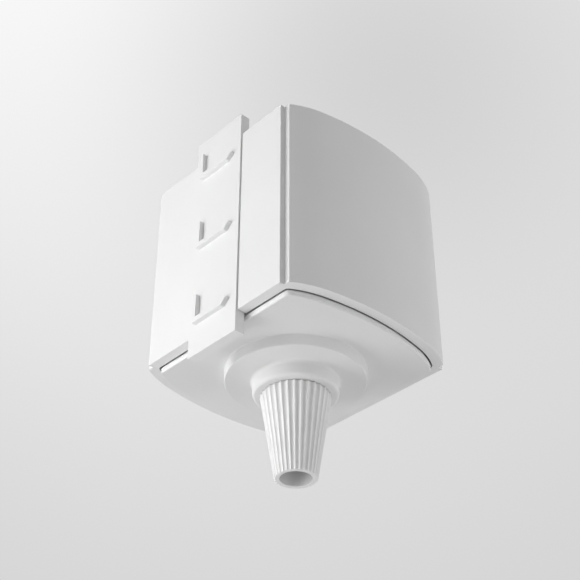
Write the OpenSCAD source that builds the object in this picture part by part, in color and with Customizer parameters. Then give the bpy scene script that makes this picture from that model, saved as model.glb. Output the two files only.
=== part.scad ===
// Lighting track connector: hangs from a slotted track and feeds a pendant cord.
// The origin is the middle of the top face, which meets the underside of the track.
// +Z is up, the lock slide is on the -X wall, and the bulged walls face -Y and +Y.

/* [Sleeve] */
// Width across the two flat walls
sleeve_w = 45; // [42:0.5:60]
// Length of each flat wall
sleeve_flat = 39.6; // [37:0.2:52]
// Height of the sleeve
sleeve_h = 45; // [42:0.5:60]
// Thickness of the sleeve's walls
wall = 2.2; // [1.8:0.1:2.8]
// Rise of each bulged wall over its ends
bulge = 4.4; // [3:0.1:6]
// Slope of a bulged wall at its ends, in degrees
edge_angle = 32; // [28:1:38]
// Slope where a bulged wall's end arcs meet its middle arc, in degrees
shoulder_angle = 12; // [9:1:15]
// Width of the step at each corner, across the flat wall
step_w = 1.15; // [0.6:0.05:1.6]
// Depth of the step at each corner, along the flat wall
step_d = 1.35; // [0.6:0.05:2]

/* [Body] */
// Gap between the sleeve and the body
fit_gap = 0.3; // [0.2:0.05:0.5]
// Thickness of the body's walls
body_wall = 2; // [1.8:0.1:2.6]
// Thickness of the base plate
base_t = 2.5; // [2:0.1:3.5]
// How far the base plate stands below the sleeve
base_drop = 1.25; // [0.5:0.05:2.5]
// Radius of the base plate's lower edge
base_r = 0.25; // [0.1:0.05:1.2]
// Radius of the body's upright corners
corner_r = 1.5; // [0.8:0.1:2]
// Depth by which the body's walls stand back from the edge of the base plate
relief = 1.1; // [0.6:0.1:1.2]
// Height of the full-width rim under the lid
rim_h = 3; // [2:0.5:5]
// Thickness of the lid
lid_t = 2.6; // [2.4:0.1:3.2]
// Diameter of the screw posts in the corners
post_d = 6; // [5.6:0.1:7]
// Distance of the screw posts from the outside of the body's flat walls
post_in = 5.8; // [5:0.1:7]
// Distance of the screw posts from the ends of the body's flat walls
post_end = 1.9; // [1.4:0.1:3]
// Thickness of the webs that join the posts to the walls
post_web = 1.2; // [0.8:0.1:2]

/* [Base boss] */
// Diameter of the round disc
disc_d = 29; // [26:0.2:32]
// Height of the round disc
disc_h = 2.6; // [1.6:0.1:3.2]
// Edge radius of the round disc
disc_r = 0.2; // [0.1:0.05:0.6]
// Radius of the hollow where the disc meets the base plate
disc_root = 0.25; // [0.1:0.05:1]
// Diameter of the collar
collar_d = 17.6; // [17:0.1:20]
// Height of the collar
collar_h = 3.1; // [2.2:0.1:4]
// Edge radius of the collar
collar_r = 0.7; // [0.3:0.1:1]
// Radius of the hollow where the collar meets the disc
collar_root = 0.6; // [0.2:0.1:1.2]
// Diameter of the hole for the cord through the base and the spigot
cord_hole_d = 7.6; // [7.2:0.1:7.8]

/* [Cord grip] */
// Diameter of the thread that the nut runs on
thread_d = 10; // [9.6:0.1:10.4]
// Length of the threaded spigot
thread_l = 6; // [5:0.25:6.5]
// Running clearance between the nut and the spigot, on the radius
thread_gap = 0.05; // [0.03:0.01:0.08]
// Diameter of the nut at its wide end
nut_d = 14.5; // [13.8:0.1:16]
// Diameter of the nut at its tip
nut_tip_d = 8.6; // [8.4:0.1:10]
// Length of the nut
nut_l = 18.1; // [17.5:0.1:24]
// Diameter of the cord bore at the nut's tip
cord_d = 6.5; // [5.5:0.1:6.8]
// Length of the straight cord bore at the nut's tip
cord_bore_l = 4.6; // [4:0.1:5]
// Number of flutes round the nut
flutes = 32; // [24:1:36]
// Depth of each flute at the nut's wide end
flute_depth = 0.4; // [0.2:0.05:0.5]
// Depth of each flute at the nut's tip
flute_tip_depth = 0.25; // [0.1:0.05:0.3]
// Gap between the nut and the collar, and round the collet
seam = 0.15; // [0.1:0.01:0.25]

/* [Lock slide] */
// Width of the slide's blade
slide_w = 14.2; // [12:0.1:16]
// Thickness of the slide's blade
slide_t = 2.25; // [2:0.05:2.8]
// How far the blade stands proud of the sleeve
slide_proud = 0.35; // [0.2:0.05:1]
// How far the blade stands above the sleeve when locked
slide_up = 5.5; // [4:0.1:7]
// How far the blade stands below the sleeve when locked
slide_down = 4.8; // [3:0.1:7]
// Shift of the slide from the middle of the wall
slide_shift = -0.6; // [-1:0.1:1]
// Downward travel that frees the connector
slide_travel = 5.5; // [4:0.1:6]
// Clearance round the slide
slide_gap = 0.15; // [0.1:0.05:0.25]
// Width by which the guide flange is wider than the blade, on each side
flange_w = 1.5; // [1:0.1:2]
// Thickness of the guide flange
flange_t = 1; // [0.8:0.05:1.2]
// Length of the guide flange
flange_l = 34; // [28:0.5:35]

/* [Hook ribs] */
// Number of hook-shaped ribs on the blade
ribs = 3; // [1:1:3]
// Distance from one hook-shaped rib to the next
rib_pitch = 18.55; // [12:0.05:19]
// Height of the lowest rib over the lower end of the blade
rib_start = 7; // [4:0.1:8]
// Width of a rib's upright
rib_w = 0.95; // [0.6:0.05:1.5]
// Height of a rib's level bar
rib_bar = 1.2; // [0.8:0.05:1.5]
// How far the ribs stand out of the blade
rib_out = 1; // [0.5:0.05:1.5]
// Height of a rib's upright
rib_h = 6.6; // [4:0.1:8]
// Length of a rib's level bar
rib_l = 8.8; // [6:0.1:9.5]
// Length of the upturned end, measured along the level bar
rib_tip = 1.35; // [1:0.05:2]

/* [Track head] */
// Diameter of the neck, which passes through the track's slot
neck_d = 14.2; // [14:0.1:15]
// Space under the cross bar for the lip of the track
lip_gap = 3; // [2:0.1:3.5]
// Length of the cross bar
bar_l = 26; // [24:0.5:27]
// Height of the cross bar
bar_h = 3.8; // [3.4:0.1:4.5]
// Thickness of the cap on the cross bar
cap_t = 1.4; // [1.2:0.1:2]

/* [Contacts] */
// Thickness of the contact strips
strip_t = 0.8; // [0.6:0.05:1]
// Width of the contact strips
strip_w = 4; // [3:0.1:4.4]
// Clearance round the contact strips and the clamps
strip_gap = 0.1; // [0.05:0.01:0.15]
// Distance of the live and neutral strips from the middle
pole_y = 5; // [4.8:0.1:5.2]
// Distance of the earth strip from the middle
earth_x = 6.9; // [6.6:0.1:7.4]
// How far the contact faces stand proud of the head
contact_proud = 0.6; // [0.3:0.05:0.8]
// Depth of the grooves for the strips in the cross bar
groove_depth = 2; // [1.6:0.1:2.2]
// Reach of the earth strip over the lid, from the middle towards a bulged wall
earth_reach = 12; // [11:0.1:12.4]

/* [Terminals] */
// Height of the terminal block
block_h = 10.4; // [10:0.1:12]
// Gap between the lid and the terminal block
block_drop = 2; // [1.6:0.1:3]
// Wall thickness of the terminal block
block_wall = 1.2; // [1:0.1:1.4]
// Height of the brass clamps
clamp_h = 7; // [6:0.1:7.4]
// Width of the brass clamps
clamp_w = 6.6; // [6:0.1:6.8]
// Space for a wire in each clamp
wire_w = 2.6; // [2:0.1:2.8]
// Thickness of the clamps behind the strips
clamp_back = 1; // [0.8:0.1:1.4]
// Thickness of the clamps' threaded fronts
clamp_front = 2.3; // [1.8:0.1:2.6]
// Shank diameter of the terminal screws
term_screw_d = 3; // [2.5:0.1:3]
// Head diameter of the terminal screws
term_head_d = 4.4; // [4:0.1:4.6]
// Head height of the terminal screws
term_head_h = 1.6; // [1.4:0.1:2]
// Distance of the block's fixing screws from the middle, across the flat walls
ear_x = 8; // [7.8:0.1:9]
// Distance between the block's two fixing screws
ear_pitch = 12; // [11:0.5:14]
// Thickness of the block's two ears
ear_t = 3; // [2.4:0.1:4]

/* [Screws] */
// Shank diameter of the lid and sleeve screws
screw_d = 3; // [2.5:0.1:3]
// Head diameter of the lid and sleeve screws
head_d = 5.4; // [5:0.1:5.8]
// Length of the lid screws
lid_screw_l = 12; // [8:1:16]
// Length of the sleeve screws
sleeve_screw_l = 5.6; // [5:0.1:6]
// Distance of the upper sleeve screw from the top
sleeve_screw_top = 19.5; // [19:0.5:21]
// Distance of the lower sleeve screw from the sleeve's lower end
sleeve_screw_low = 7.5; // [7:0.5:10]
// Shank diameter of the small screws in the head and the terminal block
small_screw_d = 2.5; // [2:0.1:2.6]
// Length of the cap's screw
cap_screw_l = 5.5; // [4.5:0.1:6]
// Clearance between a screw's shank and its hole, on the radius
screw_gap = 0.05; // [0.03:0.01:0.1]

/* [Lock spring] */
// Outer diameter of the spring
spring_d = 4; // [3.4:0.1:4]
// Diameter of the spring's wire
spring_wire = 0.5; // [0.4:0.05:0.6]
// Length of the spring with the slide locked
spring_l = 12; // [11:0.5:14]
// Number of turns
spring_turns = 7; // [5:1:8]
// Distance of the tab that the spring pushes from the top of the flange
tab_drop = 15.2; // [10:0.1:16]
// Thickness of that tab
tab_t = 2.5; // [2:0.1:3.5]

/* [Cord bush] */
// Length of the bush in the base
bush_l = 5; // [3:0.5:7]
// Diameter of the bush's lip inside the body
bush_lip_d = 12; // [10:0.5:14]
// Height of the bush's lip
bush_lip_h = 1.2; // [1:0.1:2]

/* [Hidden] */
$fn = 64;
eps = 0.01;
over = 1;

white = [0.9, 0.9, 0.9];
plastic = [0.86, 0.86, 0.86];
brass = [0.8, 0.65, 0.3];
steel = [0.7, 0.7, 0.72];
rubber = [0.2, 0.2, 0.2];
dark = [0.3, 0.3, 0.3];

// Screws: the straight edge and the clearance of countersunk heads, the screwdriver's recesses
head_edge = 0.3;
head_gap = 0.15;
cross_share = 0.6;
cross_w = 0.7;
cross_t = 1;
pan_h = 1.5;
pan_extra = 2;
driver_slot_w = 0.6;
driver_slot_t = 0.8;
tip_room = 0.5;
blind_end = 1.6;

// Bulged wall: a middle arc with a tighter arc at each end, all tangent
half_chord = sleeve_w / 2 - step_w;
sin_s = sin(shoulder_angle);
cos_s = cos(shoulder_angle);
d_sin = sin(edge_angle) - sin_s;
d_cos = cos_s - cos(edge_angle);
arc_det = sin_s * d_cos - d_sin * (1 - cos_s);
mid_r = (half_chord * d_cos - d_sin * bulge) / arc_det;
end_r = (sin_s * bulge - (1 - cos_s) * half_chord) / arc_det;
crown_y = sleeve_flat / 2 + step_d + bulge;
mid_y = mid_r - crown_y;
mid_x = mid_y * tan(shoulder_angle);
end_x = (mid_r - end_r) * sin_s;
end_y = mid_y - (mid_r - end_r) * cos_s;
far = 4 * sleeve_w;

// Body
inner_corner_r = 1;
lip_drop = 0.05;
pad_extra = 1;
body_inset = wall + fit_gap;
body_x = sleeve_w / 2 - body_inset;
cavity_x = body_x - body_wall;
base_z = -sleeve_h - base_drop;
floor_z = base_z + base_t;
room_h = -lid_t - floor_z;
post_x = body_x - post_in;
post_y = sleeve_flat / 2 - body_inset - post_end;
sleeve_screws_z = [-sleeve_screw_top, sleeve_screw_low - sleeve_h];
sleeve_screw_end = sleeve_w / 2 - sleeve_screw_l - tip_room;
sleeve_boss_x = sleeve_screw_end - blind_end;

// Boss and cord grip
disc_z = base_z - disc_h;
collar_z = disc_z - collar_h;
spigot_d = thread_d - 2 * thread_gap;
spigot_z = collar_z - thread_l;
nut_z = collar_z - seam;
tip_z = nut_z - nut_l;
thread_runout = 0.9;
nut_thread_z = spigot_z - thread_runout;
bore_top_z = tip_z + cord_bore_l;
seat_room = 0.7;
seat_ledge = 0.4;
seat_d = cord_d + 2 * seat_room;
seat_top_d = thread_d - 2 * seat_ledge;
nut_slope = atan((nut_d - nut_tip_d) / 2 / nut_l);
nut_side = nut_l / cos(nut_slope);
flute_r = 0.72;
flute_tip_r = 0.42;
flute_phase = 0.5;
collet_end = 0.6;
collet_gap = 0.25;
collet_top_gap = 0.35;
collet_slit = 0.8;
collet_ring = 0.6;
cord_squeeze = 0.1;
bush_gap = 0.1;
bush_squeeze = 0.15;

// Lock slide, its recess in the body, and the spring's pocket
flange_gap = 0.1;
slide_front = -sleeve_w / 2 - slide_proud;
slide_back = slide_front + slide_t;
slide_left = slide_shift - slide_w / 2;
slide_low = -sleeve_h - slide_down;
flange_front = -sleeve_w / 2 + wall + flange_gap;
flange_back = flange_front + flange_t;
flange_top = -lid_t - slide_gap;
flange_low = flange_top - flange_l;
recess_x = flange_back + slide_gap;
recess_z = flange_low - slide_travel - slide_gap;
tab_z = flange_top - tab_drop;
tab_gap = 0.3;
spring_side_gap = 0.2;
spring_end_gap = 0.05;
spring_top = tab_z - tab_t - spring_end_gap;
spring_floor = spring_top - spring_l;
spring_x = recess_x + spring_side_gap + spring_d / 2;
pocket_gap = 0.3;
pocket_w = spring_d + 2 * pocket_gap;
pocket_x = recess_x + spring_d + 2 * spring_side_gap;
guide_wall = 1.4;
guide_x = pocket_x + guide_wall;
tip_share = 0.7;
rib_y = slide_shift + (rib_l + rib_tip) / 2;

// Track head and contacts
bar_side_gap = 0.2;
bar_w = neck_d - 2 * bar_side_gap;
bar_z = lip_gap;
bar_top = bar_z + bar_h;
cap_top = bar_top + cap_t;
groove_floor = bar_top - groove_depth;
slot_w = strip_w + 2 * strip_gap;
slot_t = strip_t + 2 * strip_gap;
turn_down = 0.8;
earth_bed = strip_t + strip_gap;
earth_foot = 6.8;
earth_out = earth_x - strip_t / 2 + earth_foot;
bow_slope = 1.6;
bow_flat = 1.6;
bow_l = 2 * bow_slope + bow_flat;
pillar_d = 5.4;
lid_skin = 0.9;

// Terminals
block_top = -lid_t - block_drop;
block_low = block_top - block_h;
block_roof = 1.6;
clamp_top = block_top - block_roof;
clamp_low = clamp_top - clamp_h;
leg_end = 0.6;
leg_low = clamp_low + leg_end;
term_z = (clamp_top + clamp_low) / 2;
wire_u = strip_t / 2 + wire_w;
clamp_in = strip_t / 2 + strip_gap + clamp_back;
clamp_out = wire_u + clamp_front;
term_gap = 0.2;
term_back = 1.2;
cell_in = clamp_in + strip_gap + block_wall;
cell_out = clamp_out + strip_gap + block_wall;
cell_w = clamp_w + 2 * strip_gap + 2 * block_wall;

// Outlines

module bulged_outline(inset, half_x) {
    intersection() {
        square([2 * half_x, far], center = true);
        union() {
            square([2 * half_x, sleeve_flat - 2 * inset], center = true);
            for (s = [0, 1]) {
                mirror([0, s]) {
                    for (t = [-1, 1]) {
                        translate([t * end_x, end_y]) circle(r = end_r - inset, $fn = 160);
                    }
                    intersection() {
                        translate([0, mid_y]) circle(r = mid_r - inset, $fn = 360);
                        polygon([[-mid_x, 0], [mid_x, 0], [far * sin_s, mid_y - far * cos_s],
                            [-far * sin_s, mid_y - far * cos_s]]);
                    }
                }
            }
        }
    }
}

module corner_cuts(inset, half_x, r) {
    // What an upright corner loses to its rounding, where the flat wall meets the end arc
    reach = 2 * r;
    x = half_x - r;
    y = end_y - sqrt(pow(end_r - inset - r, 2) - pow(x - end_x, 2));
    out = [x - end_x, y - end_y] / (end_r - inset - r);
    for (s = [0, 1], t = [0, 1]) {
        mirror([s, 0]) mirror([0, t])
            difference() {
                polygon([[x, y], [x + reach, y], [x + reach, y - reach],
                    [x + reach * out[0], y + reach * out[1]]]);
                translate([x, y]) circle(r = r, $fn = 64);
            }
    }
}

module sleeve_inside() {
    difference() {
        bulged_outline(wall, sleeve_w / 2 - wall);
        corner_cuts(wall, sleeve_w / 2 - wall, inner_corner_r);
    }
}

module body_outline() {
    difference() {
        bulged_outline(body_inset, body_x);
        corner_cuts(body_inset, body_x, corner_r);
    }
}

module sleeve_outline() {
    square([sleeve_w, sleeve_flat], center = true);
    bulged_outline(0, half_chord);
}

// Screws, with the flat of the countersunk head at the origin and the shank along -Z

module countersunk_screw(d, head, length) {
    cone_h = (head - d) / 2;
    difference() {
        rotate_extrude()
            polygon([[0, 0], [head / 2, 0], [head / 2, -head_edge], [d / 2, -head_edge - cone_h],
                [d / 2, -length], [0, -length]]);
        for (a = [0, 90]) {
            rotate([0, 0, a])
                translate([-head * cross_share / 2, -cross_w / 2, -cross_t])
                cube([head * cross_share, cross_w, cross_t + over]);
        }
    }
}

module sunk_screw(d, head, length) {
    translate([0, 0, -head_gap]) countersunk_screw(d, head, length);
}

module countersunk_hole(d, head, length) {
    hole = d + 2 * screw_gap;
    mouth = head + 2 * head_gap;
    cone_h = (mouth - hole) / 2;
    rotate_extrude()
        polygon([[0, over], [mouth / 2, over], [mouth / 2, -head_edge], [hole / 2, -head_edge - cone_h],
            [hole / 2, -length], [0, -length]]);
}

// Sleeve

module sleeve() {
    color(white)
    difference() {
        translate([0, 0, -sleeve_h]) linear_extrude(sleeve_h) sleeve_outline();
        translate([0, 0, -sleeve_h - over])
            linear_extrude(sleeve_h + 2 * over) sleeve_inside();
        translate([-sleeve_w / 2 - over, slide_left - slide_gap, -sleeve_h - over])
            cube([wall + 2 * over, slide_w + 2 * slide_gap, sleeve_h + 2 * over]);
        sleeve_screws_at() countersunk_hole(screw_d, head_d, wall + over);
    }
}

module sleeve_screw_at(i) {
    translate([sleeve_w / 2, 0, sleeve_screws_z[i]]) rotate([0, 90, 0]) children();
}

module sleeve_screws_at() {
    sleeve_screw_at(0) children();
    sleeve_screw_at(1) children();
}

module sleeve_screw_upper() {
    color(steel) sleeve_screw_at(0) sunk_screw(screw_d, head_d, sleeve_screw_l);
}

module sleeve_screw_lower() {
    color(steel) sleeve_screw_at(1) sunk_screw(screw_d, head_d, sleeve_screw_l);
}

// Body: base plate, walls, boss and spigot in one moulding

module posts_at() {
    for (x = [0, 1], y = [0, 1]) {
        mirror([x, 0, 0]) mirror([0, y, 0]) translate([post_x, post_y, 0]) children();
    }
}

module rounded_disc(d, h, r) {
    rotate_extrude($fn = 96) {
        translate([0, r]) square([d / 2, h - r]);
        square([d / 2 - r, h]);
        translate([d / 2 - r, r]) circle(r = r, $fn = 32);
    }
}

module root_ring(d, r) {
    // The hollow at the foot of a round step, which stands below z = 0
    rotate_extrude($fn = 96)
        difference() {
            translate([d / 2 - r, -r]) square([2 * r, r + eps]);
            translate([d / 2 + r, -r]) circle(r = r, $fn = 32);
        }
}

module rounded_bar_profile(half_w, h, r) {
    translate([-half_w, r]) square([2 * half_w, h - r]);
    translate([-half_w + r, 0]) square([2 * (half_w - r), h]);
    for (s = [-1, 1]) {
        translate([s * (half_w - r), r]) circle(r = r, $fn = 32);
    }
}

module base_plate() {
    // Each arc of the outline is a disc with a rounded edge, cut by a bar with rounded edges.
    difference() {
        intersection() {
            translate([0, 0, base_z]) rotate([90, 0, 0])
                linear_extrude(far, center = true) rounded_bar_profile(body_x, base_t, base_r);
            union() {
                translate([-body_x, -sleeve_flat / 2 + body_inset, base_z])
                    cube([2 * body_x, sleeve_flat - 2 * body_inset, base_t]);
                for (s = [0, 1]) {
                    mirror([0, s, 0]) {
                        for (t = [-1, 1]) {
                            translate([t * end_x, end_y, base_z])
                                rounded_disc(2 * (end_r - body_inset), base_t, base_r);
                        }
                        intersection() {
                            translate([0, mid_y, base_z])
                                rounded_disc(2 * (mid_r - body_inset), base_t, base_r);
                            translate([0, 0, base_z - over]) linear_extrude(base_t + 2 * over)
                                polygon([[-mid_x, 0], [mid_x, 0], [far * sin_s, mid_y - far * cos_s],
                                    [-far * sin_s, mid_y - far * cos_s]]);
                        }
                    }
                }
            }
        }
        translate([0, 0, base_z - over]) linear_extrude(base_t + 2 * over)
            corner_cuts(body_inset, body_x, corner_r);
    }
}

module relief_band() {
    // Sets the walls back from the sleeve, apart from the slide's guides and the sleeve screws' pads
    low = -sleeve_h - lip_drop;
    high = -lid_t - rim_h;
    guide = slide_w + 2 * flange_w + 2 * slide_gap + 2 * pad_extra;
    pad = post_d + 2 * pad_extra;
    difference() {
        translate([0, 0, low]) linear_extrude(high - low) square(2 * far, center = true);
        translate([0, 0, low - over]) linear_extrude(high - low + 2 * over)
            bulged_outline(body_inset + relief, body_x - relief);
        translate([-far, slide_shift - guide / 2, recess_z]) cube([far, guide, high - recess_z + over]);
        translate([0, -pad / 2, low - over]) cube([far, pad, high - low + 2 * over]);
    }
}

module body_shell() {
    base_plate();
    difference() {
        translate([0, 0, floor_z]) linear_extrude(room_h) body_outline();
        translate([0, 0, floor_z - over])
            linear_extrude(room_h + 2 * over) bulged_outline(body_inset + body_wall, cavity_x);
    }
}

module screw_post() {
    cylinder(h = room_h + eps, d = post_d);
    translate([0, -post_web / 2, 0]) cube([post_in, post_web, room_h + eps]);
    translate([-post_web / 2, 0, 0]) cube([post_web, bulge + body_inset, room_h + eps]);
}

module inner_bosses() {
    intersection() {
        translate([0, 0, floor_z - eps])
            linear_extrude(room_h + eps) bulged_outline(body_inset + eps, body_x - eps);
        union() {
            translate([0, 0, floor_z - eps]) posts_at() screw_post();
            for (z = sleeve_screws_z) {
                translate([sleeve_boss_x, -post_d / 2, z - post_d / 2])
                    cube([cavity_x + eps - sleeve_boss_x, post_d, post_d]);
            }
            translate([-body_x, slide_shift - pocket_w / 2 - guide_wall, floor_z - eps])
                cube([guide_x + body_x, pocket_w + 2 * guide_wall, room_h + eps]);
        }
    }
}

module body() {
    color(plastic)
    difference() {
        union() {
            body_shell();
            inner_bosses();
            translate([0, 0, disc_z]) rounded_disc(disc_d, disc_h + over, disc_r);
            translate([0, 0, base_z]) root_ring(disc_d, disc_root);
            translate([0, 0, collar_z]) rounded_disc(collar_d, collar_h + over, collar_r);
            translate([0, 0, disc_z]) root_ring(collar_d, collar_root);
            translate([0, 0, spigot_z]) cylinder(h = thread_l + over, d = spigot_d);
        }
        relief_band();
        translate([0, 0, spigot_z - over]) cylinder(h = floor_z - spigot_z + 2 * over, d = cord_hole_d);
        posts_at() translate([0, 0, -lid_screw_l - tip_room])
            cylinder(h = lid_screw_l + over, d = screw_d + 2 * screw_gap);
        sleeve_screws_at() translate([0, 0, -sleeve_screw_l - tip_room])
            cylinder(h = sleeve_screw_l + over, d = screw_d + 2 * screw_gap);
        translate([-body_x - over, slide_left - flange_w - slide_gap, recess_z])
            cube([recess_x + body_x + over, slide_w + 2 * flange_w + 2 * slide_gap, -recess_z]);
        translate([recess_x - over, slide_shift - pocket_w / 2, spring_floor])
            cube([pocket_x - recess_x + over, pocket_w, -spring_floor]);
    }
}

// Lid with the neck and cross bar of the track head

module bar_outline() {
    intersection() {
        circle(d = bar_l, $fn = 96);
        square([bar_w, bar_l], center = true);
    }
}

module ears_at() {
    for (s = [-1, 1]) {
        translate([-ear_x, s * ear_pitch / 2, 0]) children();
    }
}

module pole_space() {
    translate([-slot_w / 2, pole_y - slot_t / 2, -lid_t - over])
        cube([slot_w, slot_t, lid_t + bar_top + 2 * over]);
    translate([-slot_w / 2, pole_y - slot_t / 2, groove_floor - strip_gap])
        cube([slot_w, bar_l, bar_top]);
}

module earth_space() {
    translate([earth_x - slot_t / 2, -slot_w / 2, -lid_t - over]) cube([slot_t, slot_w, lid_t + over]);
    translate([earth_x - slot_t / 2, -slot_w / 2, -earth_bed - strip_gap])
        cube([earth_out + strip_gap - earth_x + slot_t / 2, slot_w, earth_bed + strip_gap]);
    translate([earth_out + strip_gap - slot_w, -slot_w / 2, -earth_bed - strip_gap])
        cube([slot_w, slot_w / 2 + earth_reach + strip_gap, earth_bed + strip_gap + over]);
}

module head_lid() {
    color(plastic)
    difference() {
        union() {
            difference() {
                translate([0, 0, -lid_t]) linear_extrude(lid_t) body_outline();
                earth_space();
            }
            translate([0, 0, -eps]) cylinder(h = bar_z + 2 * eps, d = neck_d);
            translate([0, 0, bar_z]) linear_extrude(bar_h) bar_outline();
            ears_at() translate([0, 0, block_top]) cylinder(h = block_drop + eps, d = pillar_d);
        }
        posts_at() countersunk_hole(screw_d, head_d, lid_t + over);
        pole_space();
        mirror([0, 1, 0]) pole_space();
        ears_at() translate([0, 0, block_top - over])
            cylinder(h = over + block_drop + lid_t - lid_skin, d = small_screw_d + 2 * screw_gap);
        translate([0, 0, cap_top - head_gap - cap_screw_l - tip_room])
            cylinder(h = cap_screw_l + over, d = small_screw_d + 2 * screw_gap);
    }
}

module head_cap() {
    color(plastic)
    difference() {
        translate([0, 0, bar_top]) linear_extrude(cap_t) bar_outline();
        translate([0, 0, cap_top]) countersunk_hole(small_screw_d, small_screw_d + pan_extra, cap_t + over);
    }
}

module head_cap_screw() {
    color(steel)
    translate([0, 0, cap_top]) sunk_screw(small_screw_d, small_screw_d + pan_extra, cap_screw_l);
}

// Contacts

module pole_contact() {
    reach = bar_l / 2 + contact_proud;
    translate([-strip_w / 2, 0, 0]) {
        translate([0, pole_y - strip_t / 2, leg_low])
            cube([strip_w, strip_t, groove_floor + strip_t - leg_low]);
        translate([0, pole_y - strip_t / 2, groove_floor])
            cube([strip_w, reach - pole_y + strip_t / 2, strip_t]);
        translate([0, reach - strip_t / 2, groove_floor - turn_down])
            cube([strip_w, strip_t / 2, strip_t + turn_down]);
    }
}

module neutral_contact() {
    color(brass) pole_contact();
}

module live_contact() {
    color(brass) mirror([0, 1, 0]) pole_contact();
}

module earth_bow() {
    rise = earth_bed - strip_t + contact_proud;
    polygon([
        [0, 0], [bow_slope, rise], [bow_slope + bow_flat, rise], [bow_l, 0],
        [bow_l, strip_t], [bow_slope + bow_flat, rise + strip_t], [bow_slope, rise + strip_t],
        [0, strip_t]]);
}

module earth_contact() {
    inner = earth_x - strip_t / 2;
    branch = earth_reach - bow_l;
    color(brass) {
        translate([inner, -strip_w / 2, leg_low]) cube([strip_t, strip_w, strip_t - earth_bed - leg_low]);
        translate([inner, -strip_w / 2, -earth_bed]) cube([earth_out - inner, strip_w, strip_t]);
        translate([earth_out - strip_w, -strip_w / 2, -earth_bed])
            cube([strip_w, strip_w / 2 + branch + eps, strip_t]);
        translate([earth_out - strip_w, branch, -earth_bed])
            rotate([90, 0, 90]) linear_extrude(strip_w) earth_bow();
    }
}

// Terminal block: one cell for each pole, with its strip at u = 0 and its screw facing +u

module pole_at(angle, distance) {
    rotate([0, 0, angle]) translate([distance, 0, 0]) children();
}

module each_pole() {
    pole_at(90, pole_y) children();
    pole_at(-90, pole_y) children();
    pole_at(0, earth_x) children();
}

module cell_space() {
    width = clamp_w + 2 * strip_gap;
    translate([-clamp_in - strip_gap, -width / 2, block_low - over])
        cube([clamp_in + clamp_out + 2 * strip_gap, width, clamp_top + strip_gap - block_low + over]);
    translate([-slot_t / 2, -slot_w / 2, clamp_top]) cube([slot_t, slot_w, block_roof + over]);
    translate([clamp_out, 0, term_z]) rotate([0, 90, 0])
        cylinder(h = block_wall + 2 * over, d = term_head_d + 2 * term_gap);
}

module terminal_block() {
    ear_r = pillar_d / 2;
    color(plastic)
    difference() {
        union() {
            each_pole() translate([-cell_in, -cell_w / 2, block_low])
                cube([cell_in + cell_out, cell_w, block_h]);
            translate([-cell_w / 2, -pole_y, block_low]) cube([cell_w, 2 * pole_y, block_h]);
            translate([-ear_x - ear_r, -ear_pitch / 2 - ear_r, block_top - ear_t])
                cube([ear_x + ear_r - cell_w / 2 + eps, ear_pitch + 2 * ear_r, ear_t]);
        }
        each_pole() cell_space();
        ears_at() translate([0, 0, block_top - ear_t - over])
            cylinder(h = ear_t + 2 * over, d = small_screw_d + 2 * screw_gap);
    }
}

module clamp_form() {
    difference() {
        translate([-clamp_in, -clamp_w / 2, clamp_low]) cube([clamp_in + clamp_out, clamp_w, clamp_h]);
        translate([-slot_t / 2, -slot_w / 2, clamp_low - over])
            cube([slot_t / 2 + wire_u, slot_w, clamp_h + 2 * over]);
        translate([wire_u - over, 0, term_z]) rotate([0, 90, 0])
            cylinder(h = clamp_front + 2 * over, d = term_screw_d + 2 * screw_gap);
    }
}

module live_clamp() {
    color(brass) pole_at(-90, pole_y) clamp_form();
}

module neutral_clamp() {
    color(brass) pole_at(90, pole_y) clamp_form();
}

module earth_clamp() {
    color(brass) pole_at(0, earth_x) clamp_form();
}

module term_screw_form() {
    head_u = clamp_out + term_gap;
    start_u = strip_t / 2 + term_back;
    translate([start_u, 0, term_z]) rotate([0, 90, 0])
        cylinder(h = head_u - start_u + eps, d = term_screw_d);
    difference() {
        translate([head_u, 0, term_z]) rotate([0, 90, 0]) cylinder(h = term_head_h, d = term_head_d);
        translate([head_u + term_head_h - driver_slot_t, -term_head_d, term_z - driver_slot_w / 2])
            cube([driver_slot_t + over, 2 * term_head_d, driver_slot_w]);
    }
}

module live_screw() {
    color(steel) pole_at(-90, pole_y) term_screw_form();
}

module neutral_screw() {
    color(steel) pole_at(90, pole_y) term_screw_form();
}

module earth_screw() {
    color(steel) pole_at(0, earth_x) term_screw_form();
}

module block_screw(side) {
    head = small_screw_d + pan_extra;
    color(steel)
    translate([-ear_x, side * ear_pitch / 2, block_top - ear_t]) {
        translate([0, 0, -eps])
            cylinder(h = ear_t + block_drop + lid_t - lid_skin - tip_room + eps, d = small_screw_d);
        difference() {
            translate([0, 0, -pan_h]) cylinder(h = pan_h, d = head);
            translate([-head, -driver_slot_w / 2, -pan_h - over])
                cube([2 * head, driver_slot_w, driver_slot_t + over]);
        }
    }
}

module block_screw_left() {
    block_screw(-1);
}

module block_screw_right() {
    block_screw(1);
}

// Lid screws

module lid_screw_at(x, y) {
    color(steel)
    mirror([x, 0, 0]) mirror([0, y, 0]) translate([post_x, post_y, 0])
        sunk_screw(screw_d, head_d, lid_screw_l);
}

module lid_screw_1() {
    lid_screw_at(1, 1);
}

module lid_screw_2() {
    lid_screw_at(0, 1);
}

module lid_screw_3() {
    lid_screw_at(0, 0);
}

module lid_screw_4() {
    lid_screw_at(1, 0);
}

// Lock slide

module hook_rib() {
    // The foot of the upright is at the origin, and the level bar runs towards -Y.
    depth = rib_bar * tip_share;
    rotate([90, 0, -90]) linear_extrude(rib_out + eps) {
        square([rib_w, rib_h]);
        square([rib_l, rib_bar]);
        polygon([[rib_l - eps, 0], [rib_l + rib_tip, rib_tip + eps],
            [rib_l + rib_tip - depth, rib_tip + depth], [rib_l - depth, rib_bar]]);
    }
}

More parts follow.
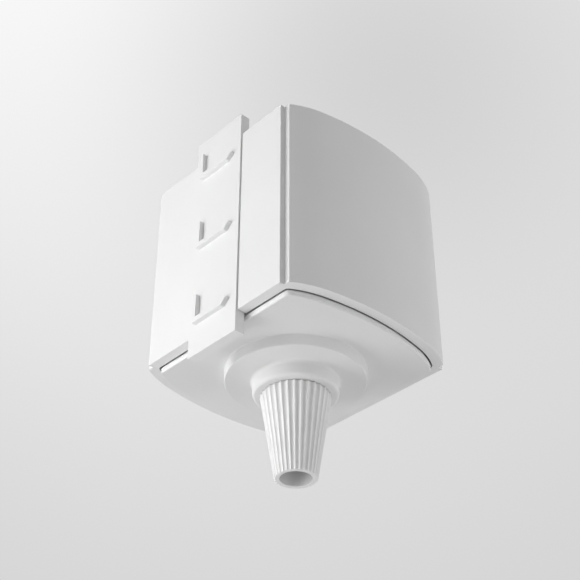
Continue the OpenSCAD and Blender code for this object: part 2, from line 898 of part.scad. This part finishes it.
module lock_slide() {
    color(white)
    union() {
        translate([slide_front, slide_left, slide_low]) cube([slide_t, slide_w, slide_up - slide_low]);
        translate([slide_back - eps, slide_left, flange_low])
            cube([flange_back - slide_back + eps, slide_w, flange_l]);
        translate([flange_front, slide_left - flange_w, flange_low])
            cube([flange_t, slide_w + 2 * flange_w, flange_l]);
        translate([flange_back - eps, slide_shift - spring_d / 2, tab_z - tab_t])
            cube([pocket_x - tab_gap - flange_back, spring_d, tab_t]);
        for (i = [0 : ribs - 1]) {
            translate([slide_front + eps, rib_y, slide_low + rib_start + i * rib_pitch]) hook_rib();
        }
    }
}

// Lock spring, swept along a helix whose first and last turns lie close

close_pitch = 1.05;
close_rise = close_pitch * spring_wire;
open_rise = (spring_l - spring_wire - 2 * close_rise) / (spring_turns - 2);
turn_steps = 14;
coil_steps = spring_turns * turn_steps;
coil_sides = 6;
coil_r = (spring_d - spring_wire) / 2;

function coil_height(turn) =
    spring_wire / 2 + close_rise * (min(turn, 1) + max(turn - spring_turns + 1, 0))
    + open_rise * (min(turn, spring_turns - 1) - min(turn, 1));

function coil_point(i, j) = let (
    turn = spring_turns * i / coil_steps,
    around = 360 * j / coil_sides,
    r = coil_r + spring_wire / 2 * cos(around))
    [r * cos(360 * turn), r * sin(360 * turn), coil_height(turn) + spring_wire / 2 * sin(around)];

module lock_spring() {
    points = [for (i = [0 : coil_steps], j = [0 : coil_sides - 1]) coil_point(i, j)];
    sides = [for (i = [0 : coil_steps - 1], j = [0 : coil_sides - 1], half = [0, 1])
        let (k = (j + 1) % coil_sides, a = i * coil_sides, b = a + coil_sides)
        half == 0 ? [a + j, b + j, b + k] : [a + j, b + k, a + k]];
    first = [for (j = [0 : coil_sides - 1]) j];
    last = [for (j = [0 : coil_sides - 1]) coil_steps * coil_sides + coil_sides - 1 - j];
    color(steel)
    translate([spring_x, slide_shift, spring_floor])
        polyhedron(points, concat(sides, [first, last]), convexity = 10);
}

// Cord grip

module flute() {
    // A slim cone outside the nut's side: it cuts to the two depths at the tip and at the wide end.
    tip_out = flute_tip_r - flute_tip_depth;
    base_out = flute_r - flute_depth;
    spread = (flute_r - flute_tip_r) / nut_side * over;
    translate([nut_tip_d / 2, 0, 0]) rotate([0, nut_slope, 0])
        translate([tip_out, 0, 0]) rotate([0, atan((base_out - tip_out) / nut_side), 0])
        translate([0, 0, -over])
        cylinder(h = nut_side + 2 * over, r1 = flute_tip_r - spread, r2 = flute_r + spread, $fn = 24);
}

module cord_nut() {
    color(white)
    difference() {
        translate([0, 0, tip_z]) cylinder(h = nut_l, d1 = nut_tip_d, d2 = nut_d, $fn = 96);
        for (i = [0 : flutes - 1]) {
            translate([0, 0, tip_z]) rotate([0, 0, (i + flute_phase) * 360 / flutes]) flute();
        }
        translate([0, 0, nut_thread_z]) cylinder(h = nut_z - nut_thread_z + over, d = thread_d);
        translate([0, 0, bore_top_z])
            cylinder(h = nut_thread_z - bore_top_z + eps, d1 = seat_d, d2 = seat_top_d);
        translate([0, 0, tip_z - over]) cylinder(h = cord_bore_l + over + eps, d = cord_d);
    }
}

module cord_collet() {
    top = spigot_z - seam;
    low = bore_top_z + collet_end;
    color(dark)
    difference() {
        translate([0, 0, low])
            cylinder(h = top - low, d1 = seat_d - 2 * collet_gap, d2 = seat_top_d - 2 * collet_top_gap);
        translate([0, 0, low - over]) cylinder(h = top - low + 2 * over, d = cord_d - 2 * cord_squeeze);
        for (a = [0, 90]) {
            rotate([0, 0, a]) translate([-thread_d, -collet_slit / 2, low - over])
                cube([2 * thread_d, collet_slit, top - low + over - collet_ring]);
        }
    }
}

module cord_bush() {
    color(rubber)
    difference() {
        union() {
            translate([0, 0, floor_z - bush_l]) cylinder(h = bush_l + eps, d = cord_hole_d - 2 * bush_gap);
            translate([0, 0, floor_z]) cylinder(h = bush_lip_h, d = bush_lip_d);
        }
        translate([0, 0, floor_z - bush_l - over])
            cylinder(h = bush_l + bush_lip_h + 2 * over, d = cord_d - 2 * bush_squeeze);
    }
}

sleeve();
sleeve_screw_upper();
sleeve_screw_lower();
body();
head_lid();
lid_screw_1();
lid_screw_2();
lid_screw_3();
lid_screw_4();
head_cap();
head_cap_screw();
live_contact();
neutral_contact();
earth_contact();
terminal_block();
live_clamp();
neutral_clamp();
earth_clamp();
live_screw();
neutral_screw();
earth_screw();
block_screw_left();
block_screw_right();
lock_slide();
lock_spring();
cord_nut();
cord_collet();
cord_bush();
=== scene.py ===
"""Looks of the lighting track connector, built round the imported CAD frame."""
import math

import bmesh
import bpy
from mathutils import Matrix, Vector


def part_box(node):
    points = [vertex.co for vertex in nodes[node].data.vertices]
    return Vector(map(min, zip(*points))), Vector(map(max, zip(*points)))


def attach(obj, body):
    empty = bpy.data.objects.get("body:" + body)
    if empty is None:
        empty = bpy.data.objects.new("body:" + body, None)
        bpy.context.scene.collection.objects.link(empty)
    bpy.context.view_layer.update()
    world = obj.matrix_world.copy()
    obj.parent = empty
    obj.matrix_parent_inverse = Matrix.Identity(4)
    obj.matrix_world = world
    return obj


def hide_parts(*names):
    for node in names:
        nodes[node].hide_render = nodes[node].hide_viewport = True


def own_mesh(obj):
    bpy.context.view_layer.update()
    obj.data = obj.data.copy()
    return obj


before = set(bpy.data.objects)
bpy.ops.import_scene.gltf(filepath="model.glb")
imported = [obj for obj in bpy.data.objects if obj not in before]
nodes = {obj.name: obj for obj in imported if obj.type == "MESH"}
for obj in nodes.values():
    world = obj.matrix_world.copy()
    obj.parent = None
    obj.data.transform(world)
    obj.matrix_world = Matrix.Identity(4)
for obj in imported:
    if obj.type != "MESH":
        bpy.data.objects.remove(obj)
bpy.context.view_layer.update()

MM = 0.001


def point(x, y, z):
    """A point of the part's frame, given in millimetres."""
    return Vector((x, y, z)) * MM


def direction(heading, rise):
    """The unit vector at a heading from +X towards +Y, and a rise over the level, in degrees."""
    heading, rise = math.radians(heading), math.radians(rise)
    level = math.cos(rise)
    return Vector((level * math.cos(heading), level * math.sin(heading), math.sin(rise)))


# Camera: where the photograph was taken from, and the way it looks

CAMERA_AT = point(-148.8, -159.1, -180.2)
CAMERA_HEADING = 47.223
CAMERA_RISE = 35.364
CAMERA_LENS = 77.8
CAMERA_SENSOR = 36
CAMERA_NEAR = 10 * MM


def make_camera():
    data = bpy.data.cameras.new("camera")
    data.lens = CAMERA_LENS
    data.sensor_width = CAMERA_SENSOR
    data.clip_start = CAMERA_NEAR
    camera = bpy.data.objects.new("camera", data)
    bpy.context.scene.collection.objects.link(camera)
    camera.location = CAMERA_AT
    camera.rotation_euler = direction(CAMERA_HEADING, CAMERA_RISE).to_track_quat("-Z", "Y").to_euler()
    bpy.context.scene.camera = camera


make_camera()


# Node trees: short calls to build materials and the world

# The range that most of a noise texture's values fill
NOISE_LOW = 0.3
NOISE_HIGH = 0.7


class Nodes:
    """A node tree, with short calls to add and join its nodes."""

    def __init__(self, tree):
        self.tree = tree

    def add(self, kind, **values):
        """A new node; each value goes to the property of that name, or else to the input."""
        node = self.tree.nodes.new(kind)
        for key, value in values.items():
            if hasattr(node, key):
                setattr(node, key, value)
            else:
                node.inputs[key.replace("_", " ")].default_value = value
        return node

    def link(self, source, target):
        self.tree.links.new(source, target)

    def math(self, operation, *values):
        """A Math node; a value is a number or another node's output."""
        node = self.add("ShaderNodeMath", operation=operation)
        for socket, value in zip(node.inputs, values):
            if isinstance(value, (int, float)):
                socket.default_value = value
            else:
                self.link(value, socket)
        return node.outputs["Value"]

    def seen(self):
        """1 where the camera looks, directly, in a mirror or through glass, and 0 for other light."""
        ray = self.add("ShaderNodeLightPath").outputs
        direct = self.math("ADD", ray["Is Camera Ray"], ray["Is Glossy Ray"])
        return self.math("MINIMUM", self.math("ADD", direct, ray["Is Transmission Ray"]), 1.0)


class Shader(Nodes):
    """A material, with its Principled shader as base."""

    def __init__(self, name, **sockets):
        self.material = bpy.data.materials.new(name)
        self.material.use_nodes = True
        super().__init__(self.material.node_tree)
        self.base = self.tree.nodes["Principled BSDF"]
        for socket, value in sockets.items():
            self.base.inputs[socket.replace("_", " ")].default_value = value

    def noise(self, scale, detail=2.0):
        """Noise in the part's own space, with the scale in features per metre."""
        noise = self.add("ShaderNodeTexNoise", Scale=scale, Detail=detail)
        place = self.add("ShaderNodeTexCoord")
        self.link(place.outputs["Object"], noise.inputs["Vector"])
        return noise.outputs["Fac"]

    def colours(self, value, dark, light):
        """Base colour that goes from dark to light with the noise value."""
        ramp = self.add("ShaderNodeValToRGB")
        stops = zip(ramp.color_ramp.elements, (NOISE_LOW, NOISE_HIGH), (dark, light))
        for stop, position, colour in stops:
            stop.position = position
            stop.color = (*colour, 1)
        self.link(value, ramp.inputs["Fac"])
        self.link(ramp.outputs["Color"], self.base.inputs["Base Color"])

    def gloss(self, value, smooth, rough):
        """Roughness that goes from smooth to rough with the noise value."""
        spread = self.add("ShaderNodeMapRange", From_Min=NOISE_LOW, From_Max=NOISE_HIGH,
                          To_Min=smooth, To_Max=rough)
        self.link(value, spread.inputs["Value"])
        self.link(spread.outputs["Result"], self.base.inputs["Roughness"])

    def bump(self, height, depth_mm):
        """Bump of that depth in millimetres, over any bump that the material has already."""
        bump = self.add("ShaderNodeBump", Distance=depth_mm * MM)
        self.link(height, bump.inputs["Height"])
        normal = self.base.inputs["Normal"]
        if normal.is_linked:
            self.link(normal.links[0].from_socket, bump.inputs["Normal"])
        self.link(bump.outputs["Normal"], normal)

    def soften(self, share, depth_mm):
        """Lets that share of the light go in and come out again nearby, all colours alike."""
        self.base.inputs["Subsurface Weight"].default_value = share
        self.base.inputs["Subsurface Radius"].default_value = (1, 1, 1)
        self.base.inputs["Subsurface Scale"].default_value = depth_mm * MM

    def thread(self, pitch_mm, core_mm, radius_mm, below_mm, depth_mm):
        """A right-hand thread round the Z axis, between two radii and below that height."""
        place = self.add("ShaderNodeTexCoord")
        axes = self.add("ShaderNodeSeparateXYZ")
        self.link(place.outputs["Object"], axes.inputs["Vector"])
        x, y, z = axes.outputs
        turn = self.math("DIVIDE", self.math("ARCTAN2", y, x), 2 * math.pi)
        rise = self.math("DIVIDE", z, pitch_mm * MM)
        ridge = self.math("PINGPONG", self.math("SUBTRACT", rise, turn), 0.5)
        squares = self.math("ADD", self.math("MULTIPLY", x, x), self.math("MULTIPLY", y, y))
        out = self.math("SQRT", squares)
        inside = self.math("MULTIPLY", self.math("GREATER_THAN", out, core_mm * MM),
                           self.math("LESS_THAN", out, radius_mm * MM))
        under = self.math("LESS_THAN", z, below_mm * MM)
        self.bump(self.math("MULTIPLY", ridge, self.math("MULTIPLY", inside, under)), depth_mm)


# Materials, whose marks have scales in features per metre and depths in millimetres

PLASTIC_CLOUDS = 55.0
PLASTIC_PATCHES = 240.0
SPARK_GRAIN = 2600.0
SPARK_DEPTH = 0.006
SINK_MARKS = 90.0
SINK_DEPTH = 0.02
METAL_CLOUDS = 130.0
METAL_PATCHES = 420.0
TOOL_MARKS = 900.0
TOOL_DEPTH = 0.003
RUBBER_CLOUDS = 180.0
RUBBER_PATCHES = 500.0
RUBBER_GRAIN = 3000.0
RUBBER_DEPTH = 0.008


def grey(level, warmth=0.0):
    return (level + warmth, level, level - warmth)


def moulded_plastic(name, dark, light, roughness):
    """Moulded plastic with a fine spark-eroded grain, faint cloudiness and slight sink marks."""
    shader = Shader(name, Specular_IOR_Level=0.35)
    shader.colours(shader.noise(PLASTIC_CLOUDS, 3.0), dark, light)
    shader.gloss(shader.noise(PLASTIC_PATCHES), roughness - 0.04, roughness + 0.05)
    shader.bump(shader.noise(SPARK_GRAIN, 3.0), SPARK_DEPTH)
    shader.bump(shader.noise(SINK_MARKS, 1.0), SINK_DEPTH)
    return shader


def worked_metal(name, dark, light, roughness):
    """Bare metal with fine marks from its making, duller in patches."""
    shader = Shader(name, Metallic=1.0)
    shader.colours(shader.noise(METAL_CLOUDS, 4.0), dark, light)
    shader.gloss(shader.noise(METAL_PATCHES, 4.0), roughness - 0.07, roughness + 0.12)
    shader.bump(shader.noise(TOOL_MARKS, 4.0), TOOL_DEPTH)
    return shader


def moulded_rubber(name, dark, light):
    """Dull rubber with a fine grain."""
    shader = Shader(name, Specular_IOR_Level=0.3)
    shader.colours(shader.noise(RUBBER_CLOUDS, 3.0), dark, light)
    shader.gloss(shader.noise(RUBBER_PATCHES), 0.62, 0.8)
    shader.bump(shader.noise(RUBBER_GRAIN, 2.0), RUBBER_DEPTH)
    return shader


# The thread on the body's spigot, in millimetres
THREAD_PITCH = 1.0
THREAD_CORE_R = 4.5
THREAD_R = 5.1
THREAD_TOP = -52.0
THREAD_DEPTH = 0.5
# The share of the light that goes into the nut's thin flutes, and how far in millimetres
NUT_SOFTNESS = 0.35
NUT_SOFT_DEPTH = 0.6

WHITE = moulded_plastic("white_cover", grey(0.84), grey(0.865), 0.5)
INNER = moulded_plastic("white_housing", grey(0.83), grey(0.855), 0.52)
BODY = moulded_plastic("threaded_housing", grey(0.83), grey(0.855), 0.52)
BODY.thread(THREAD_PITCH, THREAD_CORE_R, THREAD_R, THREAD_TOP, THREAD_DEPTH)
NUT = moulded_plastic("white_nut", grey(0.84), grey(0.865), 0.5)
NUT.soften(NUT_SOFTNESS, NUT_SOFT_DEPTH)
BLOCK = moulded_plastic("block_plastic", grey(0.74, 0.01), grey(0.78, 0.01), 0.45)
COLLET = moulded_plastic("dark_nylon", grey(0.09), grey(0.12), 0.55)
BRASS = worked_metal("brass_strip", (0.72, 0.5, 0.2), (0.83, 0.62, 0.28), 0.28)
ZINC = worked_metal("zinc_plated_steel", (0.6, 0.61, 0.62), (0.72, 0.73, 0.75), 0.3)
SPRING = worked_metal("spring_steel", (0.5, 0.5, 0.51), (0.62, 0.62, 0.63), 0.32)
RUBBER = moulded_rubber("black_rubber", grey(0.035), grey(0.06))

SHADER_OF = {
    "sleeve": WHITE, "lock_slide": WHITE, "cord_nut": NUT,
    "body": BODY, "head_lid": INNER, "head_cap": INNER, "cord_collet": COLLET,
    "terminal_block": BLOCK, "cord_bush": RUBBER, "lock_spring": SPRING,
}
for name in nodes:
    if name.endswith(("contact", "clamp")):
        SHADER_OF[name] = BRASS
    elif "screw" in name:
        SHADER_OF[name] = ZINC


def paint(piece, shader):
    piece.data.materials.clear()
    piece.data.materials.append(shader.material)


# Edge roundings of the pieces that keep their CAD mesh, in millimetres

EDGE_OF = {
    "sleeve": 0.06, "lock_slide": 0.05, "body": 0.07, "head_lid": 0.12, "head_cap": 0.12,
    "cord_nut": 0.05, "terminal_block": 0.12, "cord_collet": 0.05, "cord_bush": 0.08,
}
SCREW_EDGE = 0.05
STRIP_EDGE = 0.07
EDGE_STEPS = 3
# Corners that are nearer than this, in millimetres, become one
WELD_WITHIN = 0.0005
# Angles in degrees: faces that bend less are one flat face, and edges that bend more are rounded
FLAT_BELOW = 0.4
EDGE_ABOVE = 30


def round_edges(piece, radius_mm):
    """Welds the CAD mesh, makes its flat faces whole again and rounds its edges."""
    weld = piece.modifiers.new("weld", "WELD")
    weld.merge_threshold = WELD_WITHIN * MM
    flat = piece.modifiers.new("flat", "DECIMATE")
    flat.decimate_type = "DISSOLVE"
    flat.angle_limit = math.radians(FLAT_BELOW)
    edge = piece.modifiers.new("edge", "BEVEL")
    edge.width = radius_mm * MM
    edge.segments = EDGE_STEPS
    edge.limit_method = "ANGLE"
    edge.angle_limit = math.radians(EDGE_ABOVE)
    even = piece.modifiers.new("even", "WEIGHTED_NORMAL")
    even.keep_sharp = True
    for polygon in piece.data.polygons:
        polygon.use_smooth = True


for name, piece in nodes.items():
    paint(piece, SHADER_OF[name])
    if name != "lock_spring":
        round_edges(piece, EDGE_OF.get(name, SCREW_EDGE if "screw" in name else STRIP_EDGE))


# Lock spring: round wire in place of the CAD solid's six-sided one, pressed together by the slide

WIRE = 0.5 * MM
TURNS = 7
TURN_STEPS = 48
WIRE_SIDES = 14
# How much the first and the last turn rise, so that they lie close
CLOSE_RISE = 1.05 * WIRE
UP = Vector((0, 0, 1))


def coil_rings(centre, radius, low, length):
    """The places round the wire at each step of a coil whose first and last turns lie close."""
    open_rise = (length - WIRE - 2 * CLOSE_RISE) / (TURNS - 2)
    for i in range(TURNS * TURN_STEPS + 1):
        turn = i / TURN_STEPS
        first = min(turn, 1)
        last = max(turn - TURNS + 1, 0)
        angle = 2 * math.pi * turn
        out = Vector((math.cos(angle), math.sin(angle), 0))
        middle = centre + radius * out
        middle.z = low + WIRE / 2 + CLOSE_RISE * (first + last) + open_rise * (turn - first - last)
        sides = (2 * math.pi * j / WIRE_SIDES for j in range(WIRE_SIDES))
        yield [middle + WIRE / 2 * (math.cos(side) * out + math.sin(side) * UP) for side in sides]


def coil_mesh(centre, radius, low, length):
    """A coil of round wire with flat ends."""
    shape = bmesh.new()
    places = coil_rings(centre, radius, low, length)
    rings = [[shape.verts.new(place) for place in ring] for ring in places]
    for a, b in zip(rings, rings[1:]):
        for j in range(WIRE_SIDES):
            k = (j + 1) % WIRE_SIDES
            shape.faces.new((a[j], b[j], b[k], a[k]))
    shape.faces.new(rings[0])
    shape.faces.new(rings[-1][::-1])
    bmesh.ops.recalc_face_normals(shape, faces=shape.faces)
    mesh = bpy.data.meshes.new("spring_coil")
    shape.to_mesh(mesh)
    shape.free()
    for polygon in mesh.polygons:
        polygon.use_smooth = len(polygon.vertices) == 4
    return mesh


def make_spring():
    """Fits the coil to the CAD spring's box; it stands on the housing and the slide presses it."""
    low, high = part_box("lock_spring")
    centre = (low + high) / 2
    radius = (high.y - low.y - WIRE) / 2
    height = high.z - low.z
    coil = bpy.data.objects.new("spring_coil", coil_mesh(centre, radius, low.z, height))
    bpy.context.scene.collection.objects.link(coil)
    paint(coil, SPRING)
    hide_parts("lock_spring")
    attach(coil, "housing")
    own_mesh(coil)


make_spring()


# Floor, far below the part, so that lamps can shine up at it; lengths in metres

FLOOR_Z = -0.7
FLOOR_R = 3.0
FLOOR_SIDES = 96
# The distance from the middle at which the floor starts to thin out towards its rim
FLOOR_FADE = 1.0
FLOOR_CLOUDS = 3.0
FLOOR_GLOW = 0.34
WHITE_LIGHT = (1, 1, 1, 1)


def floor_shader():
    """Pale and dull. It shows no hard rim, and looks as pale as the backdrop, with shadows on it."""
    shader = Shader("pale_floor", Roughness=0.9, Specular_IOR_Level=0.1)
    shader.colours(shader.noise(FLOOR_CLOUDS), grey(0.78), grey(0.8))
    place = shader.add("ShaderNodeTexCoord")
    length = shader.add("ShaderNodeVectorMath", operation="LENGTH")
    shader.link(place.outputs["Object"], length.inputs[0])
    fade = shader.add("ShaderNodeMapRange", interpolation_type="SMOOTHSTEP",
                      From_Min=FLOOR_FADE, From_Max=FLOOR_R, To_Min=1.0, To_Max=0.0)
    shader.link(length.outputs["Value"], fade.inputs["Value"])
    shader.link(fade.outputs["Result"], shader.base.inputs["Alpha"])
    shader.base.inputs["Emission Color"].default_value = WHITE_LIGHT
    glow = shader.math("MULTIPLY", shader.seen(), FLOOR_GLOW)
    shader.link(glow, shader.base.inputs["Emission Strength"])
    return shader


def make_floor():
    mesh = bpy.data.meshes.new("floor")
    shape = bmesh.new()
    bmesh.ops.create_circle(shape, cap_ends=True, segments=FLOOR_SIDES, radius=FLOOR_R)
    shape.to_mesh(mesh)
    shape.free()
    floor = bpy.data.objects.new("floor", mesh)
    bpy.context.scene.collection.objects.link(floor)
    floor.location.z = FLOOR_Z
    paint(floor, floor_shader())


make_floor()


# World: its even light, the backdrop's level, and soft patches of the backdrop

AMBIENT = 0.338
BACKDROP = 0.636
# Each patch's amount, its heading and rise in degrees, and how narrow it is
PATCHES = ((0.556, 49.9, 52.6, 15.5), (-0.459, 43.5, 47.6, 42.0))


def make_world():
    """Even soft light from all round, and a pale backdrop that brightens towards the upper left."""
    world = bpy.data.worlds.new("studio")
    bpy.context.scene.world = world
    world.use_nodes = True
    world.node_tree.nodes.clear()
    sky = Nodes(world.node_tree)
    way = sky.add("ShaderNodeVectorMath", operation="NORMALIZE")
    sky.link(sky.add("ShaderNodeTexCoord").outputs["Generated"], way.inputs[0])
    level = BACKDROP
    for amount, heading, rise, narrow in PATCHES:
        near = sky.add("ShaderNodeVectorMath", operation="DOT_PRODUCT")
        sky.link(way.outputs["Vector"], near.inputs[0])
        near.inputs[1].default_value = direction(heading, rise)
        patch = sky.math("POWER", sky.math("MAXIMUM", near.outputs["Value"], 0.0), narrow)
        level = sky.math("ADD", sky.math("MULTIPLY", patch, amount), level)
    backdrop = sky.add("ShaderNodeBackground", Color=WHITE_LIGHT)
    sky.link(level, backdrop.inputs["Strength"])
    ambient = sky.add("ShaderNodeBackground", Color=WHITE_LIGHT, Strength=AMBIENT)
    mix = sky.add("ShaderNodeMixShader")
    sky.link(sky.seen(), mix.inputs[0])
    sky.link(ambient.outputs[0], mix.inputs[1])
    sky.link(backdrop.outputs[0], mix.inputs[2])
    sky.link(mix.outputs[0], sky.add("ShaderNodeOutputWorld").inputs["Surface"])


make_world()


# Lamps: round soft discs, all aimed at the middle of the part

LAMP_AIM = point(0, 0, -25)
# A disc's width as a share of its distance
LAMP_SPREAD = 0.6
# Each lamp's side of the part, its distance in metres, and its power at 1 m
LAMPS = {
    "left_near": ((-0.95, 0.3, -0.1), 0.22, 4.75),
    "left": ((-1.0, 0.0, 0.0), 0.5, 0.4),
    "left_back_low": ((-0.6, 0.5, -0.6), 0.32, 2.7),
    "right_front": ((0.7, -0.7, 0.0), 0.5, 1.95),
    "right_front_low": ((0.5, -0.5, -0.7), 0.5, 1.55),
    "front_low": ((-0.6, -0.6, -0.5), 0.5, 0.25),
    "below": ((0.0, 0.0, -1.0), 0.5, 0.38),
    "above": ((0.4, 0.4, 1.0), 0.5, 4.5),
}


def make_lamp(name, side, distance, power):
    """A lamp that is as bright at the part from any distance, and that the camera doesn't see."""
    data = bpy.data.lights.new(name, "AREA")
    data.shape = "DISK"
    data.size = LAMP_SPREAD * distance
    data.energy = power * distance ** 2
    lamp = bpy.data.objects.new(name, data)
    bpy.context.scene.collection.objects.link(lamp)
    away = Vector(side).normalized()
    lamp.location = LAMP_AIM + away * distance
    lamp.rotation_euler = (-away).to_track_quat("-Z", "Y").to_euler()
    lamp.visible_camera = False


for name, (side, distance, power) in LAMPS.items():
    make_lamp(name, side, distance, power)

bpy.context.scene.view_settings.view_transform = "Standard"
